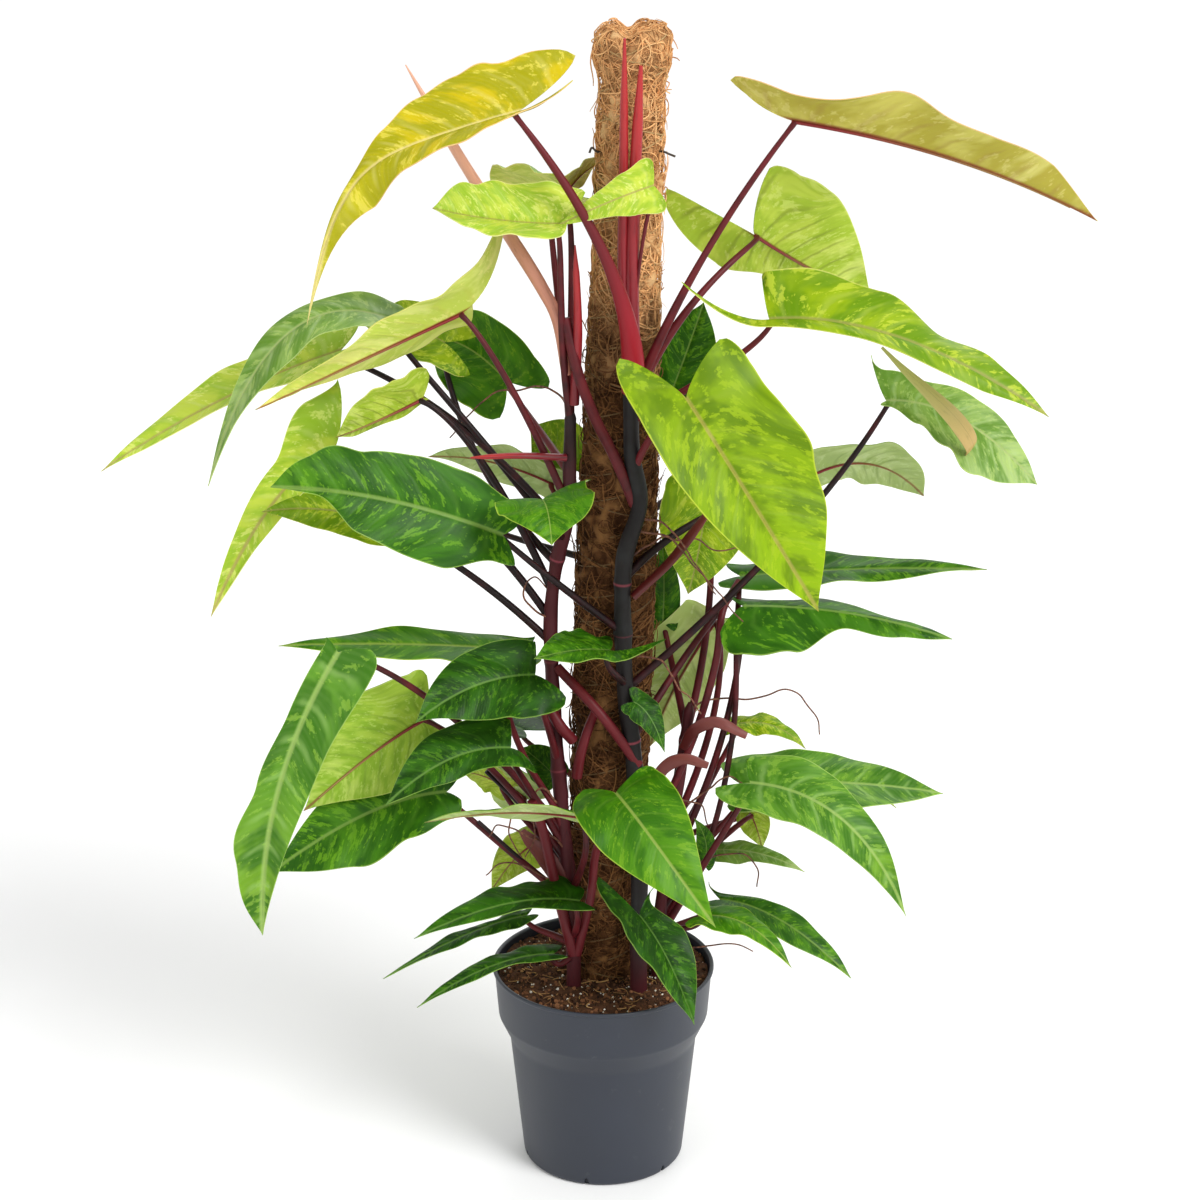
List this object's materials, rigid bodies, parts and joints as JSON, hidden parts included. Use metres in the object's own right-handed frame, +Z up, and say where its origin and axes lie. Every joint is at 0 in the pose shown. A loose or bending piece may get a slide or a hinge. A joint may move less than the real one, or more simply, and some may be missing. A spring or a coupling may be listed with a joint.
{
  "type": "potted painted lady philodendron on a coir pole",
  "caption": "Philodendron with long spear-shaped mottled leaves on maroon stalks, climbing a coir-wrapped pole in a round nursery pot filled with soil.",
  "frame": {"origin": "centre of the pot's underside, on the surface that the pot stands on", "axes": "+Z up along the pot's axis, -Y towards the side that the picture shows, +X to the picture's right"},
  "size_m": [0.7754, 0.3976, 0.99],
  "materials": {
    "pot_plastic": "thin slate-blue nursery pot plastic, smooth with a soft satin shine",
    "potting_soil": "dark moist peat mix with white perlite crumbs and straw bits, matt",
    "stake_wood": "raw softwood stake, hidden inside the coir sleeve",
    "coir_fibre": "matted golden-brown coconut fibre held by a pale thread, rough and matt",
    "stem_skin": "smooth waxy stems and stalks, near black to maroon, with pink rings at the joints",
    "leaf_yellow": "young golden-yellow leaf, mottled lime, soft wax shine",
    "leaf_lime": "lime leaf mottled with green, pale veins, soft wax shine",
    "leaf_green": "mid-green leaf with lime mottles and pale veins, soft wax shine",
    "leaf_dark": "old dark green leaf with a few yellow-green mottles, soft wax shine",
    "leaf_pale": "leaf that shows its pale grey-green underside, matt",
    "spear_red": "rolled new leaves and their sheaths, crimson, smooth and waxy",
    "sheath_pink": "drying stem sheaths, pink to tan, papery"
  },
  "bodies": {
    "root": {"pot": "pot_plastic", "soil": "potting_soil", "pole_stake": "stake_wood", "coir_wrap": "coir_fibre", "stem_front": "stem_skin", "stem_left": "stem_skin", "stem_right": "stem_skin", "stem_back": "stem_skin", "leaf_01": "leaf_yellow", "leaf_02": "leaf_yellow", "leaf_03": "leaf_lime", "leaf_04": "leaf_lime", "leaf_06": "leaf_yellow", "leaf_07": "leaf_lime", "leaf_08": "leaf_green", "leaf_09": "leaf_lime", "leaf_10": "leaf_green", "leaf_12": "leaf_lime", "leaf_13": "leaf_green", "leaf_16": "leaf_dark", "leaf_17": "leaf_lime", "leaf_19": "leaf_pale", "leaf_20": "leaf_lime", "leaf_21": "leaf_green", "leaf_23": "leaf_yellow", "leaf_25": "leaf_lime", "leaf_27": "leaf_lime", "leaf_28": "leaf_pale", "leaf_30": "leaf_pale", "leaf_31": "leaf_dark", "leaf_32": "leaf_dark", "leaf_33": "leaf_pale", "leaf_35": "leaf_lime", "leaf_36": "leaf_green", "leaf_37": "leaf_green", "leaf_38": "leaf_lime", "leaf_39": "leaf_green", "leaf_40": "leaf_green", "leaf_41": "leaf_lime", "leaf_42": "leaf_green", "leaf_43": "leaf_dark", "leaf_44": "leaf_pale", "leaf_46": "leaf_dark", "leaf_47": "leaf_dark", "leaf_48": "leaf_dark", "leaf_49": "leaf_green", "leaf_50": "leaf_dark", "leaf_51": "leaf_green", "leaf_52": "leaf_green", "leaf_54": "leaf_green", "leaf_55": "leaf_green", "spears_top": "spear_red", "spear_side": "spear_red", "spear_left": "spear_red", "sheath_left": "sheath_pink", "strap_right": "sheath_pink", "curl_right": "sheath_pink", "curl_front": "sheath_pink", "sheath_low": "sheath_pink"}
  },
  "joints": []
}
